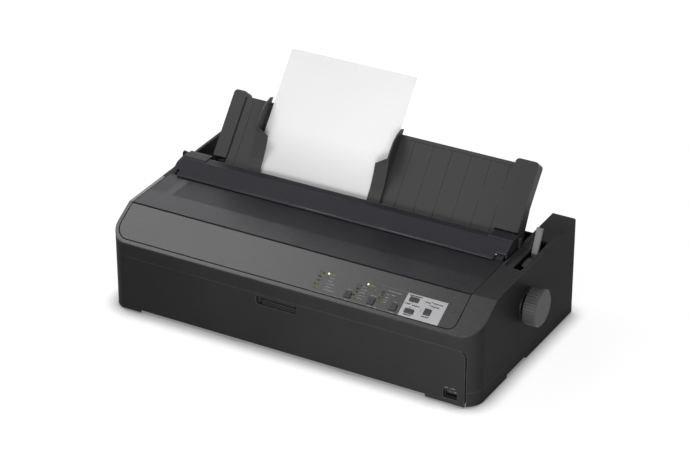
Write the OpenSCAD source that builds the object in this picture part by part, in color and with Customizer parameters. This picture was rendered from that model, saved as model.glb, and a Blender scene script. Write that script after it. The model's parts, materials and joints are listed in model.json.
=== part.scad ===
// Wide-carriage dot matrix printer with a hinged smoke-tinted cover, a folding
// sheet guide and a loaded sheet. Millimetres, +Z up, +X to the user's right,
// the front faces -Y, and the origin is under the middle of the whole object.

/* [Case] */
// Width of the case
body_w = 613; // [600:1:630]
// Depth of the case
body_d = 326; // [322:1:334]
// Height of the front rim, where the sloped panel starts
rim_z = 114.5; // [112:0.5:116]
// Height of the fold between the sloped panel and the deck
fold_z = 149.5; // [148.5:0.5:151]
// Distance of that fold behind the front face
fold_y = 61; // [60:0.5:63]
// Height of the deck at the rear
rear_z = 156; // [155:0.5:158]
// Radius of the upright front corners
corner_r = 30; // [24:1:34]
// Wall thickness of the mouldings
wall = 3; // [2.4:0.1:3.4]
// Height of the joint between lower and upper case
split_z = 23.5; // [22:0.5:26]

/* [Covers] */
// Right edge of the sloped panel and of the cover
cover_right = 267; // [266:0.5:268]
// Left edge of the sloped panel and of the cover
cover_left = -300.5; // [-301:0.5:-300]
// Top edge of the front cover
front_cover_z = 92; // [88:0.5:94]
// Left edge of the front cover
front_cover_left = -286; // [-290:0.5:-284]
// Right edge of the front cover
front_cover_right = 290.5; // [288:0.5:292]
// Gap between mouldings that show a seam
seam = 0.6; // [0.4:0.1:0.8]

/* [Platen] */
// Distance of the platen's axis behind the front face
platen_y = 160.6; // [160:0.1:161]
// Height of the platen's axis
platen_z = 94.6; // [94:0.1:95]
// Radius of the platen's rubber
platen_r = 15.5; // [15:0.1:16]
// Radius of the platen's steel shaft
shaft_r = 4; // [3.5:0.1:4]
// Diameter of the feed knob
knob_d = 57; // [52:0.5:58]
// Outer face of the feed knob
knob_face_x = 332.5; // [330:0.5:334]

/* [Sheet guide] */
// Lean of the sheet guide from upright, in degrees
lean = 39; // [38.5:0.5:39.5]
// Height of the guide's top edge
guide_top_z = 256.2; // [252:0.2:258]
// Width of the loaded sheet
sheet_w = 216; // [210:1:217]
// Left edge of the loaded sheet
sheet_left = -182.5; // [-184:0.5:-181]
// Height of the sheet's top edge
sheet_top_z = 319.6; // [300:0.1:322]

/* [Hidden] */

$fn = 48;
eps = 0.01;
fine = 96;
case_black = [0.16, 0.16, 0.165];
panel_grey = [0.36, 0.36, 0.37];
smoke = [0.22, 0.22, 0.26, 0.75];
guide_grey = [0.3, 0.3, 0.31];
steel = [0.72, 0.73, 0.75];
zinc = [0.62, 0.63, 0.64];
rubber = [0.08, 0.08, 0.08];
light_grey = [0.55, 0.55, 0.56];
silver = [0.78, 0.78, 0.79];
gear_white = [0.88, 0.87, 0.82];
board_green = [0.1, 0.35, 0.2];

half_w = body_w / 2;
slope = atan2(fold_z - rim_z, fold_y);
slope_len = norm([fold_y, fold_z - rim_z]);
deck_rise = (rear_z - fold_z) / (body_d - fold_y);
function deck_z(y) = fold_z + deck_rise * (y - fold_y);

// The row's origin lies under the middle of the box round the whole object.
sheet_t = 0.3;
guide_c = 58.4;
sheet_gap = 0.3;
function guide_y(z, forward = 0) = (guide_c - forward + z * sin(lean)) / cos(lean);
sheet_top_y = guide_y(0) + sheet_top_z * tan(lean) - sheet_gap * cos(lean);
origin_x = (knob_face_x - half_w) / 2;
origin_y = sheet_top_y / 2;

// A sub-part in its colour, moved from the case's own frame to the origin.
module piece(tint) {
    color(tint) translate([-origin_x, -origin_y, 0]) children();
}

// ---------------------------------------------------------------- shared forms

// A block between two corners.
module block(low, high) {
    translate(low) cube([high[0] - low[0], high[1] - low[1], high[2] - low[2]]);
}

// A rod along X between two places.
module rod_x(x0, x1, y, z, r) {
    translate([x0, y, z]) rotate([0, 90, 0]) cylinder(h = x1 - x0, r = r, $fn = fine);
}

// A rod along Y between two places.
module rod_y(y0, y1, x, z, r) {
    translate([x, y1, z]) rotate([90, 0, 0]) cylinder(h = y1 - y0, r = r, $fn = fine);
}

// A profile in the Y-Z plane, drawn out along X.
module along_x(x0, x1) {
    translate([x0, 0, 0]) rotate([90, 0, 90]) linear_extrude(x1 - x0) children();
}

// An upright slab with four round corners, front ones and rear ones.
module rounded_slab(x0, x1, y0, y1, z0, z1, front_r, rear_r) {
    difference() {
        block([x0, y0, z0], [x1, y1, z1]);
        for (side = [0, 1]) {
            corner_cut(side == 0 ? x0 : x1, y0, z0, z1, front_r, side, 0);
            corner_cut(side == 0 ? x0 : x1, y1, z0, z1, rear_r, side, 1);
        }
    }
}

// What is cut from one upright corner to round it.
module corner_cut(x, y, z0, z1, r, right, rear) {
    cx = right == 0 ? x + r : x - r;
    cy = rear == 0 ? y + r : y - r;
    difference() {
        block([min(x, cx) - (right == 0 ? 1 : 0), min(y, cy) - (rear == 0 ? 1 : 0), z0 - 1],
              [max(x, cx) + (right == 0 ? 0 : 1), max(y, cy) + (rear == 0 ? 0 : 1), z1 + 1]);
        translate([cx, cy, z0 - 2]) cylinder(h = z1 - z0 + 4, r = r, $fn = fine);
    }
}

// Moves children onto the sloped panel: x across, y up the slope, z outward.
module on_slope() {
    translate([0, 0, rim_z]) rotate([slope, 0, 0]) children();
}

function slope_at(up, out) =
    [up * cos(slope) - out * sin(slope), rim_z + up * sin(slope) + out * cos(slope)];

// Moves children onto the sheet guide: x across, y up the guide, z forward.
module on_guide() {
    translate([0, guide_y(0), 0]) rotate([90 - lean, 0, 0]) children();
}
function up_guide(z) = z / cos(lean);

// A spur gear along X with involute flanks; phase turns it into mesh.
gear_module = 1.5;
backlash = 0.25;
function pitch_r(teeth) = gear_module * teeth / 2;
function involute(cosine) = (sqrt(1 / (cosine * cosine) - 1)) * 180 / PI - acos(cosine);
function half_tooth(teeth, r) =
    let (rp = pitch_r(teeth), rb = rp * cos(20), rr = max(r, rb))
    90 / teeth - backlash / 2 / rp * 180 / PI + involute(cos(20)) - involute(rb / rr);
function gear_points(teeth) = [
    for (i = [0 : teeth - 1]) for (s = [-1, 1]) for (k = [0 : 3])
        let (root = pitch_r(teeth) - 1.25 * gear_module,
             tip = pitch_r(teeth) + 0.9 * gear_module,
             step = s < 0 ? k : 3 - k,
             r = root + (tip - root) * step / 3,
             a = i * 360 / teeth + s * half_tooth(teeth, r))
        [r * cos(a), r * sin(a)]
];
module spur_gear(teeth, x0, x1, at, phase, bore) {
    translate([x0, at[0], at[1]]) rotate([90, 0, 90]) difference() {
        rotate([0, 0, phase]) linear_extrude(x1 - x0) polygon(gear_points(teeth));
        translate([0, 0, -1]) cylinder(h = x1 - x0 + 2, r = bore, $fn = fine);
    }
}
// Phase of a gear that meshes with another one lying in direction a from it.
function mesh_phase(phase, teeth, next, a) =
    a + 180 + 180 / next - (phase - a) * teeth / next;

// ------------------------------------------------------------------- case

deck_skin = 6;
bay_x = 250;
notch_z = 114.7;
notch_front_y = 219;
notch_skin = 1.8;
// Inner faces of the two rear shoulders, and the curve at their foot.
shoulder_x = [-302, 267];
shoulder_r = 26;
well_front_y = 68;
bay_floor_z = 66;
window_left = -262;
pod_x = 271.5;
slot_left = 286;
slot_right = 300;
slot_front = 152;
slot_rear = 244;
rear_r = 6;
sill_z = 6;
sill_depth = 13;
floor_z = 1.5;
// Rib beside the lever's slot.
rib_y = [151, 250];
rib_w = 2.5;
// Lug for the left end of the guide's pivot.
lug_x0 = -264;
lug_x1 = -258;
lug_r = 6;
vent_count = 9;
vent_y = 210;
vent_pitch = 8;
vent_w = 3.5;
vent_z = [60, 100];
// The four moulded feet, as [left, right] and [front, rear] of their plan.
foot_x = [[-half_w - 1, -252], [227, half_w + 2]];
foot_y = [[-1, 103], [166, 328]];
rubber_x = 270;
rubber_y = [24, 292];
rubber_h = 4.5;
foot_r = 9;
// Hinge of the front cover.
lid_y = 5.6;
lid_z = 10;
lid_r = 2.6;
lid_pin_r = 1.3;
lug_x = [-270, -90, 100, 240];
knuckle_w = 6;
boss_places = [for (x = [-258, 258], y = [60, 120, 210, 300]) [x, y]];
boss_outer_r = 5;
boss_bore_r = 1.5;
frame_z = 24;

// The side outline of the upper case, drawn in by t.
module case_profile(t) {
    polygon([[t, split_z - (t > 0 ? 1 : 0)], [t, rim_z - t * 0.75],
             [fold_y + t * 0.28, fold_z - t], [body_d - t, rear_z - t],
             [body_d - t, split_z - (t > 0 ? 1 : 0)]]);
}

// The front cover's opening, as a solid through the front wall.
module front_opening(grow, y0, y1) {
    r = 12 + grow;
    x0 = front_cover_left - grow;
    x1 = front_cover_right + grow;
    top = front_cover_z + grow;
    block([x0, y0, 0], [x1, y1, top - r]);
    block([x0 + r, y0, 0], [x1 - r, y1, top]);
    for (x = [x0 + r, x1 - r]) rod_y(y0, y1, x, top - r, r);
}

module upper_case_body() {
    intersection() {
        along_x(-half_w, half_w) case_profile(0);
        rounded_slab(-half_w, half_w, 0, body_d, split_z, 200, corner_r, rear_r);
    }
}

module upper_case_hollow() {
    inner = half_w - wall;
    intersection() {
        along_x(-inner, inner) case_profile(deck_skin);
        rounded_slab(-inner, inner, wall, body_d - wall, split_z - 2, 200,
                     corner_r - wall, rear_r - wall);
    }
    block([-bay_x, wall, split_z - 2], [bay_x, 30, front_cover_z - 10]);
}

// The notch between the rear shoulders, larger all round by t.
module rear_notch(t, y0) {
    r = shoulder_r + t;
    x0 = shoulder_x[0] - t;
    x1 = shoulder_x[1] + t;
    low = notch_z - t;
    block([x0 + r, y0, low], [x1 - r, body_d + 1, 200]);
    for (x = [x0 + r, x1 - r]) rod_y(y0, body_d + 1, x, low + r, r);
    for (x = [[x0, x0 + r + 1], [x1 - r - 1, x1]])
        block([x[0], y0, low + r], [x[1], body_d + 1, 200]);
}

module upper_case() piece(case_black) {
    difference() {
        union() {
            difference() {
                upper_case_body();
                upper_case_hollow();
            }
            // Skin of the rear notch, inside the shell.
            intersection() {
                rear_notch(notch_skin, notch_front_y - wall);
                rounded_slab(-half_w + 1, half_w - 1, 1, body_d - 1,
                             split_z, deck_z(notch_front_y) - 1, corner_r, rear_r);
            }
        }
        front_opening(seam, -1, 12);
        // Seat of the sloped panel, with round corners, and of the top cover.
        on_slope() translate([0, 0, -panel_t]) linear_extrude(20) panel_outline(0);
        along_x(cover_left - 0.2, cover_right + 1.2)
            polygon([slope_at(slope_len - 1.2, 30), slope_at(slope_len - 1.2, -panel_t - 1.3),
                     [seat_rear_y, seat_z(seat_rear_y)], [seat_rear_y, 200]]);
        on_slope() block([28, 9, -20], [250, 58, 1]);
        // The well under the cover and the feed bay behind it.
        block([-bay_x, well_front_y, bay_floor_z + wall], [bay_x, body_d - wall, 200]);
        block([window_left, well_front_y, 120], [-bay_x + 1, 196, 200]);
        rear_notch(0, notch_front_y);
        // Slot of the release lever.
        block([slot_left, slot_front, 120], [slot_right, slot_rear, 200]);
        // Way out for the platen's shaft, and the wells for rear sockets.
        rod_x(half_w - 10, half_w + 5, platen_y, platen_z, collar_hole_r);
        socket_wells();
        vents();
    }
    // Floor of the feed bay and its side walls.
    difference() {
        union() {
            block([-bay_x - wall, notch_front_y, bay_floor_z],
                  [bay_x + wall, body_d - wall + eps, bay_floor_z + wall]);
            for (s = [-1, 1])
                block([min(s * bay_x, s * (bay_x + wall)), notch_front_y - wall,
                       bay_floor_z + wall - eps],
                      [max(s * bay_x, s * (bay_x + wall)), body_d - wall + eps, notch_z]);
        }
        rod_x(-300, 300, tractor_at[0], tractor_at[1], shaft_r + 0.6);
        rod_x(-300, 300, tractor_rail_at[0], tractor_rail_at[1], rail_r + 0.01);
    }
    pivot_lug();
    // Ears that carry the cover's hinge, and the rib beside the lever's slot.
    cover_ears();
    block([pod_x, rib_y[0], deck_z(rib_y[0]) - 1], [pod_x + rib_w, rib_y[1], deck_z(rib_y[1]) + 0.6]);
}

// Lug on the notch's floor that carries the left end of the guide's pivot.
module pivot_lug() {
    difference() {
        union() {
            block([lug_x0, guide_pivot_y - lug_r, notch_z - 1],
                  [lug_x1, guide_pivot_y + lug_r, guide_pivot_z]);
            rod_x(lug_x0, lug_x1, guide_pivot_y, guide_pivot_z, lug_r);
        }
        rod_x(lug_x0 - 1, lug_x1 + 1, guide_pivot_y, guide_pivot_z, guide_pin_r);
    }
}

// Louvres in the left side wall.
module vents() {
    for (i = [0 : vent_count - 1])
        block([-half_w - 1, vent_y + i * vent_pitch, vent_z[0]],
              [-half_w + wall + 1, vent_y + i * vent_pitch + vent_w, vent_z[1]]);
}

module cover_ears() {
    for (x = [[pod_x - 3, pod_x + 0.5], [cover_left - 4, cover_left - 0.8]])
        difference() {
            union() {
                rod_x(x[0], x[1], hinge_y, hinge_z, 4.2);
                block([x[0], hinge_y - 4.2, deck_z(hinge_y) - 5], [x[1], hinge_y + 4.2, hinge_z]);
            }
            rod_x(x[0] - 1, x[1] + 1, hinge_y, hinge_z, pin_r);
        }
}

// Plan of the four moulded feet.
module foot_profile() {
    for (x = foot_x, y = foot_y)
        translate([x[0], y[0]]) square([x[1] - x[0], y[1] - y[0]]);
}

// Where the four rubber feet sit.
module at_rubber_feet() {
    for (x = [-rubber_x, rubber_x], y = rubber_y) translate([x, y, 0]) children();
}

module lower_case() piece(case_black) {
    difference() {
        rounded_slab(-half_w, half_w, 0, body_d, floor_z, split_z, corner_r, rear_r);
        rounded_slab(-half_w + wall, half_w - wall, wall, body_d - wall, sill_z + wall,
                     split_z + 1, corner_r - wall, rear_r - wall);
        // Raised sill between the moulded feet.
        difference() {
            block([-half_w - 1, -1, 0], [half_w + 1, body_d + 1, sill_z]);
            linear_extrude(sill_z + 1) foot_profile();
        }
        front_opening(seam, -1, sill_depth);
        at_rubber_feet() cylinder(h = rubber_h, r = foot_r);
    }
    // Front wall behind the front cover, with its hinge lugs.
    difference() {
        block([front_cover_left - 4, sill_depth, sill_z],
              [front_cover_right + 4, sill_depth + wall, split_z]);
        block([switch_x0 - 1, sill_depth - 1, switch_z0 - 1.6],
              [switch_x1 + 1, sill_depth + wall + 1, split_z + 1]);
    }
    for (x = lug_x) hinge_lug(x - knuckle_w / 2 - 2.4, x - knuckle_w / 2 - 0.4);
    // Screw bosses under the frame.
    for (p = boss_places) difference() {
        translate([p[0], p[1], sill_z + wall]) cylinder(h = frame_z - sill_z - wall, r = boss_outer_r);
        translate([p[0], p[1], sill_z + wall + 2]) cylinder(h = frame_z, r = boss_bore_r);
    }
}

// A lug that holds one moulded pin of the front cover.
module hinge_lug(x0, x1) {
    r = lid_r - 0.1;
    difference() {
        union() {
            rod_x(x0, x1, lid_y, lid_z, r);
            block([x0, lid_y, lid_z - r], [x1, sill_depth + eps, lid_z + r]);
        }
        rod_x(x0 - 1, x1 + 1, lid_y, lid_z, lid_pin_r + 0.05);
    }
}

module rubber_feet() piece(rubber) {
    at_rubber_feet() cylinder(h = rubber_h, r = foot_r - 0.01);
}

// ------------------------------------------------------------- front cover

grip_left = -50;
grip_right = 18;
grip_low = 75;
grip_high = 88.6;
switch_x0 = 257;
switch_x1 = 279;
switch_z0 = 9.6;
switch_z1 = 23.4;
grip_depth = 9;
grip_r = 3;
rib_z = [28, 86];
rib_depth = 6;

module front_cover() piece(case_black) {
    difference() {
        union() {
            intersection() {
                front_opening(0, 0, wall);
                block([-half_w, 0, sill_z + 0.4], [half_w, wall, 200]);
            }
            // Cup behind the finger slot and ribs that stiffen the panel.
            block([grip_left - 2, wall - eps, grip_low - 3],
                  [grip_right + 2, grip_depth + 2, grip_high + 1.5]);
            for (x = [-200 : 80 : 200]) if (x < grip_left - 5 || x > grip_right + 5)
                block([x, wall - eps, rib_z[0]], [x + 2, rib_depth, rib_z[1]]);
        }
        // Finger slot with round lower corners, and the opening over the switch.
        block([grip_left, -1, grip_low + grip_r], [grip_right, grip_depth, grip_high]);
        block([grip_left + grip_r, -1, grip_low], [grip_right - grip_r, grip_depth, grip_high]);
        for (x = [grip_left + grip_r, grip_right - grip_r])
            rod_y(-1, grip_depth, x, grip_low + grip_r, grip_r);
        block([switch_x0, -1, switch_z0], [switch_x1, wall + 1, switch_z1]);
    }
    // Bar across the back of the finger slot, which the fingertips pull.
    block([grip_left + 8, 5, grip_low - eps], [grip_right, grip_depth + eps, grip_low + 6]);
    // Hinge knuckles with their moulded pins.
    for (x = lug_x) {
        x0 = x - knuckle_w / 2;
        x1 = x + knuckle_w / 2;
        rod_x(x0, x1, lid_y, lid_z, lid_r);
        block([x0, wall - 0.5, lid_z - lid_r], [x1, lid_y, lid_z + lid_r]);
        rod_x(x0 - 2.6, x0 + eps, lid_y, lid_z, lid_pin_r);
    }
}

// ------------------------------------------------------------ sloped panel

panel_t = 2.6;
panel_low = 6.5;
panel_r = 12.6;
rim_w = 6;
seat_rear_y = 218;
function seat_z(y) = deck_z(y) - cover_t - 0.4;
plate_left = 179.5;
plate_right = 242.5;
plate_low = 7.5;
plate_high = 46;
plate_t = 0.8;
button_gap = 0.35;
button_travel = 1;
flange = 1.2;
switch_h = 3.5;
light_r = 1.1;
// Top of the board under the panel, measured out of the slope.
board_top = -12;
// Each button: middle across, middle up the slope, width, height.
buttons = [
    [94.5, 17, 10, 10], [132.3, 17, 10, 10], [167.9, 17, 10, 10],
    [192.4, 37, 14, 7], [193, 17.4, 14, 7], [219.3, 23.5, 10, 10]
];
// Columns of status lights: place across, lowest, highest, how many.
light_columns = [[52.2, 15.3, 41.3, 5], [116.5, 15.7, 41.7, 5], [152, 22, 36, 4]];
function light_up(c, i) = c[1] + (c[2] - c[1]) * i / (c[3] - 1);

module button_holes(grow) {
    for (b = buttons)
        block([b[0] - b[2] / 2 - grow, b[1] - b[3] / 2 - grow, -30],
              [b[0] + b[2] / 2 + grow, b[1] + b[3] / 2 + grow, 30]);
}

module light_pins(grow, z0, z1) {
    for (c = light_columns, i = [0 : c[3] - 1])
        translate([c[0], light_up(c, i), z0]) cylinder(h = z1 - z0, r = light_r + grow, $fn = 24);
}

// Outline of the sloped panel, smaller all round by the gap.
module panel_outline(gap) {
    x1 = cover_right + 1 - gap;
    y0 = panel_low + gap;
    y1 = slope_len + 4 - gap * 7;
    cut = panel_r - gap;
    // The left corner keeps its distance from the case's own round corner.
    round_x = corner_r - rim_w;
    round_y = round_x / cos(slope);
    polygon([for (a = [180 : 7.5 : 270])
                 [cover_left + round_x + (round_x - gap) * cos(a),
                  panel_low + round_y + (round_y - gap) * sin(a)],
             for (a = [-90 : 7.5 : 0]) [x1 - cut, y0 + cut] + cut * [cos(a), sin(a)],
             [x1, y1], [cover_left + gap, y1]]);
}

module sloped_panel() piece(panel_grey) {
    on_slope() difference() {
        translate([0, 0, -panel_t]) linear_extrude(panel_t) panel_outline(seam);
        button_holes(button_gap);
        light_pins(0, -10, 10);
        block([plate_left, plate_low, -plate_t], [plate_right, plate_high, 5]);
    }
}

module control_plate() piece(silver) {
    on_slope() difference() {
        block([plate_left, plate_low, -plate_t], [plate_right, plate_high, 0.25]);
        button_holes(button_gap);
    }
}

module status_lights() piece([0.7, 0.85, 0.4]) {
    on_slope() light_pins(-0.01, board_top, 0.15);
}

module panel_board() piece(board_green) {
    on_slope() {
        block([32, 8, board_top - 1.6], [248, 50, board_top]);
        for (b = buttons)
            block([b[0] - 3, b[1] - 3, board_top], [b[0] + 3, b[1] + 3, board_top + switch_h]);
        for (x = [36, 76, 158, 244])
            translate([x, 44, board_top]) cylinder(h = -panel_t - board_top, r = 2, $fn = 24);
    }
}

// A key with a retaining flange under the panel and a stem over its switch.
module key(i, tint) {
    b = buttons[i];
    w = b[2] / 2;
    h = b[3] / 2;
    flange_z = -panel_t - button_travel - 0.4;
    stem_z = board_top + switch_h + button_travel + 0.1;
    piece(tint) on_slope() translate([b[0], b[1], 0]) {
        block([-w, -h, flange_z], [w, h, 1.5]);
        block([-w + 1, -h + 1, 1.5 - eps], [w - 1, h - 1, 1.9]);
        block([-w - flange, -h - flange, flange_z - flange], [w + flange, h + flange, flange_z + eps]);
        block([-1.5, -1.5, stem_z], [1.5, 1.5, flange_z - flange + eps]);
    }
}
module pitch_button() key(0, case_black);
module font_button() key(1, case_black);
module tear_off_button() key(2, case_black);
module load_button() key(3, case_black);
module line_feed_button() key(4, case_black);
module pause_button() key(5, case_black);

// --------------------------------------------------------------- top cover

cover_t = 3;
hinge_y = 209.5;
hinge_z = 165.5;
pin_r = 2;
cover_rear_y = 157;
arm_right = [252, 264];
arm_left = [-299.4, -292.6];
boss_r = 3.6;

module top_cover() piece(smoke) {
    x0 = cover_left + seam;
    x1 = cover_right + 1 - seam;
    y0 = fold_y + 0.4;
    top0 = deck_z(y0);
    top1 = deck_z(cover_rear_y);
    along_x(x0, x1)
        polygon([[y0, top0], [cover_rear_y, top1], [163, top1 + 0.4], [163, top1 - 2],
                 [cover_rear_y - 1, top1 - cover_t], [y0 + 2.2, top0 - cover_t]]);
    // Stiffening ribs under the tinted sheet, and the two hinge arms.
    for (x = [x0 + 6, x1 - 10])
        along_x(x, x + 2)
            polygon([[75, deck_z(75) - cover_t + eps], [150, deck_z(150) - cover_t + eps],
                     [150, deck_z(150) - cover_t - 0.3], [75, deck_z(75) - cover_t - 0.3]]);
    for (a = [arm_right, arm_left]) difference() {
        along_x(a[0], a[1]) union() {
            polygon([[150, deck_z(150) - 2], [163, top1 + 0.4], [183, 164.5], [hinge_y, hinge_z + 3.4],
                     [hinge_y + 1, hinge_z - 3.4], [183, 158], [166, top1 - 2]]);
            translate([hinge_y, hinge_z]) circle(r = boss_r, $fn = fine);
        }
        rod_x(a[0] - 1, a[1] + 1, hinge_y, hinge_z, pin_r + 0.05);
    }
}

module cover_pins() piece(steel) {
    rod_x(arm_right[0] - 2, pod_x + 0.5, hinge_y, hinge_z, pin_r);
    rod_x(cover_left - 4, arm_left[1] + 2, hinge_y, hinge_z, pin_r);
}

ridge_left = -292;
ridge_right = 267.4;
ridge_end = 39;
ridge_step_z = 172.6;
ridge_t = 2;
ridge_front_z = 153.6;

// Profile of the ridge, drawn in by t; its ends reach further back and up.
module ridge_profile(t, deep) {
    y_top = deep ? 212 : 200.5;
    y_low = deep ? 214.7 : 189;
    low = ridge_front_z - (t > 0 ? 3 : 0);
    polygon([[158.5 + t * 1.6, low], [161 + t, 155.2 - t], [186.5 + t * 0.4, 170.6 - t],
             if (deep) each [[189, 171 - t], [191, ridge_step_z - t], [206, ridge_step_z - t]],
             [y_top - t, 171.6 - t], [y_low - t, low]]);
}

module eject_ridge() piece(smoke) {
    difference() {
        union() {
            along_x(ridge_left, ridge_right) ridge_profile(0, false);
            for (x = [[ridge_left, ridge_left + ridge_end], [ridge_right - ridge_end, ridge_right]])
                along_x(x[0], x[1]) ridge_profile(0, true);
        }
        along_x(ridge_left + ridge_end + ridge_t, ridge_right - ridge_end - ridge_t)
            ridge_profile(ridge_t, false);
        for (x = [[ridge_left + ridge_t, ridge_left + ridge_end - ridge_t],
                  [ridge_right - ridge_end + ridge_t, ridge_right - ridge_t]])
            along_x(x[0], x[1]) ridge_profile(ridge_t, true);
        // Notches at the lower front corners, where the cover's arms enter.
        for (x = [[arm_right[0] - 1, ridge_right + 1], [ridge_left - 1, ridge_left + 6]])
            along_x(x[0], x[1]) polygon([[150, 140], [150, 160], [170.5, 160], [170.5, 140]]);
        rod_x(ridge_left - 1, ridge_right + 1, hinge_y, hinge_z, pin_r + 0.05);
        rod_x(arm_right[0] - 0.5, arm_right[1] + 0.5, hinge_y, hinge_z, boss_r + 0.1);
    }
}

// ------------------------------------------------------------- sheet guide

guide_t = 2.4;
post_t = 17;
flange_t = 12;
post_proud = 1.6;
post_round = 6;
guide_low_z = 153;
post_low_z = 172.6;
panel_top_z = guide_top_z - 5.6;
guide_left = -254;
guide_right = 263;
panel_left = -231;
panel_right = 226;
guide_pivot_y = 226;
guide_pivot_z = 148;
guide_pin_r = 2.5;
arm_w = 6;
guide_arms = [[guide_left, guide_left + arm_w], [guide_right - arm_w, guide_right]];
// Shallow grooves in the face: the whole ones, then those with a gap.
groove_first = 63.2;
groove_last = 170;
groove_left = -216;
groove_pitch = 31.2;
split_grooves = [188.6, 219.6];
rail_low = up_guide(158);
rail_high = up_guide(164);

module guide_arm(x0, x1) {
    along_x(x0, x1) union() {
        translate([guide_pivot_y, guide_pivot_z]) circle(r = 6, $fn = fine);
        polygon([[guide_pivot_y - 6, guide_pivot_z], [guide_y(post_low_z, -2), post_low_z + 1],
                 [guide_y(post_low_z + 26, -16), post_low_z + 26],
                 [guide_pivot_y + 6, guide_pivot_z]]);
    }
}

// One end post, hollow from behind.
module guide_post(x0, x1) {
    low = up_guide(post_low_z);
    high = up_guide(guide_top_z);
    difference() {
        rounded_slab(x0, x1, low, high, -post_t, post_proud, 1, post_round);
        rounded_slab(x0 + guide_t, x1 - guide_t, low + guide_t, high - guide_t,
                     -post_t - 1, post_proud - guide_t, 1, post_round - guide_t);
    }
}

module paper_guide() piece(guide_grey) {
    top = up_guide(panel_top_z);
    low = up_guide(guide_low_z);
    groove_top = top - 6.5;
    difference() {
        on_guide() {
            // Face panel with a turned-down top edge and ribs behind it.
            difference() {
                union() {
                    block([panel_left - eps, low, -guide_t], [panel_right + eps, top, 0]);
                    block([panel_left - eps, top - guide_t, -flange_t], [panel_right + eps, top, 0]);
                    for (x = [-200 : 50 : 200])
                        block([x, rail_high + 6, -8], [x + 1.6, top - 1, -guide_t + eps]);
                }
                for (x = [groove_first : groove_pitch : groove_last]) groove(x, low, groove_top);
                for (x = split_grooves) {
                    groove(x, low, low + 58);
                    groove(x, low + 80, groove_top);
                }
                groove(groove_left, low, groove_top);
                block([48, groove_top, -0.8], [panel_right - 1, groove_top + 1, 1]);
                // Track that the edge guides slide in, and the right corner, cut back
                // where the ridge's end stands in front of it.
                block([panel_left + 5, rail_low, -guide_t - 1], [panel_right - 5, rail_high, 1]);
                block([panel_right - 17, low - 1, -flange_t - 1],
                      [panel_right + 1, rail_high + 2, 1]);
            }
            guide_post(guide_left, panel_left);
            guide_post(panel_right, guide_right);
        }
        on_guide() block([panel_left - 0.9, up_guide(post_low_z) - 1, -1.5],
                         [panel_left + 1.3, top - 2, post_proud + 1]);
    }
    for (x = guide_arms) difference() {
        guide_arm(x[0], x[1]);
        rod_x(x[0] - 1, x[1] + 1, guide_pivot_y, guide_pivot_z, guide_pin_r + 0.05);
    }
}

module groove(x, y0, y1) {
    block([x - 0.4, y0, -0.7], [x + 0.4, y1, 1]);
}

module guide_pins() piece(steel) {
    for (x = [[lug_x0, guide_arms[0][1] + 2], [guide_arms[1][0] - 2, shoulder_x[1]]])
        rod_x(x[0], x[1], guide_pivot_y, guide_pivot_z, guide_pin_r);
}

// An edge guide: a fin beside the sheet, a lip over its edge, a foot in the track.
fin_t = 2.4;
lip_w = 19;
edge_shift = guide_y(0) * sin(lean);
// Front edge of the fin and its lip: up the guide, then forward.
lip_edge = [[326, 20], [318, 15], [300, 9], [280, 4.6]];
lip_back = [[258, 2.2], [280, 3.2], [300, 7.4], [318, 13.2], [326, 18]];

module fin_profile() {
    polygon(concat([[258, 0.4], [378, 0.4], [376, 6], [364, 15], [352, 19], [336, 20]],
                   lip_edge, [[258, 3.6]]));
}

module edge_guide(fin_x, s) {
    x0 = s > 0 ? fin_x - lip_w : fin_x + fin_t - eps;
    foot = [fin_x + (s > 0 ? 0 : -14), fin_x + (s > 0 ? 16 : fin_t)];
    on_guide() translate([0, -edge_shift, 0]) {
        translate([fin_x, 0, 0]) rotate([90, 0, 90]) linear_extrude(fin_t) fin_profile();
        // Lip over the sheet's edge: a bent strip, cut to a slanted top.
        intersection() {
            translate([x0, 0, 0]) rotate([90, 0, 90]) linear_extrude(lip_w + eps)
                polygon(concat(lip_edge, [[258, 3.6]], lip_back));
            linear_extrude(30) polygon(s > 0
                ? [[x0, 258], [x0, 316], [fin_x, 326], [fin_x + 1, 326], [fin_x + 1, 258]]
                : [[x0 - 1, 258], [x0 - 1, 326], [x0, 326], [x0 + lip_w, 316], [x0 + lip_w, 258]]);
        }
    }
    // Foot through the track, with a catch behind the panel and one before it.
    on_guide() {
        block([foot[0], rail_low + 0.4, -guide_t - 0.4], [foot[1], rail_high - 0.4, 0.4 + eps]);
        block([foot[0], rail_low - 3, -guide_t - 2.4],
              [foot[1], rail_high + 3, -guide_t - 0.4 + eps]);
        block([foot[0], rail_low - 3, 0.4], [foot[1], rail_high + 3, 1.8]);
    }
}
module left_edge_guide() piece(guide_grey) edge_guide(-189.2, -1);
module right_edge_guide() piece(guide_grey) edge_guide(37, 1);

module paper_sheet() piece("white") {
    on_guide()
        block([sheet_left, up_guide(guide_low_z + 1), sheet_gap],
              [sheet_left + sheet_w, up_guide(sheet_top_z), sheet_gap + sheet_t]);
}

// ------------------------------------------------------------------ platen

roller_half = 228;
frame_x = 262;
frame_t = 2;
platen_at = [platen_y, platen_z];
gear_x = [-276, -270];

module platen_roller() piece(rubber) {
    difference() {
        rod_x(-roller_half, roller_half, platen_y, platen_z, platen_r);
        rod_x(-roller_half - 1, roller_half + 1, platen_y, platen_z, shaft_r);
    }
}
module platen_shaft() piece(steel) {
    rod_x(gear_x[0] - 4, knob_face_x - 12, platen_y, platen_z, shaft_r);
}
module platen_bushes() piece(gear_white) {
    for (s = [-1, 1]) difference() {
        union() {
            rod_x(s > 0 ? frame_x - 2 : -frame_x - frame_t, s > 0 ? frame_x + frame_t : -frame_x + 2,
                  platen_y, platen_z, 7);
            rod_x(s > 0 ? frame_x - 2 : -frame_x, s > 0 ? frame_x : -frame_x + 2,
                  platen_y, platen_z, 10);
        }
        rod_x(-300, 300, platen_y, platen_z, shaft_r + 0.05);
    }
}

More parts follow.
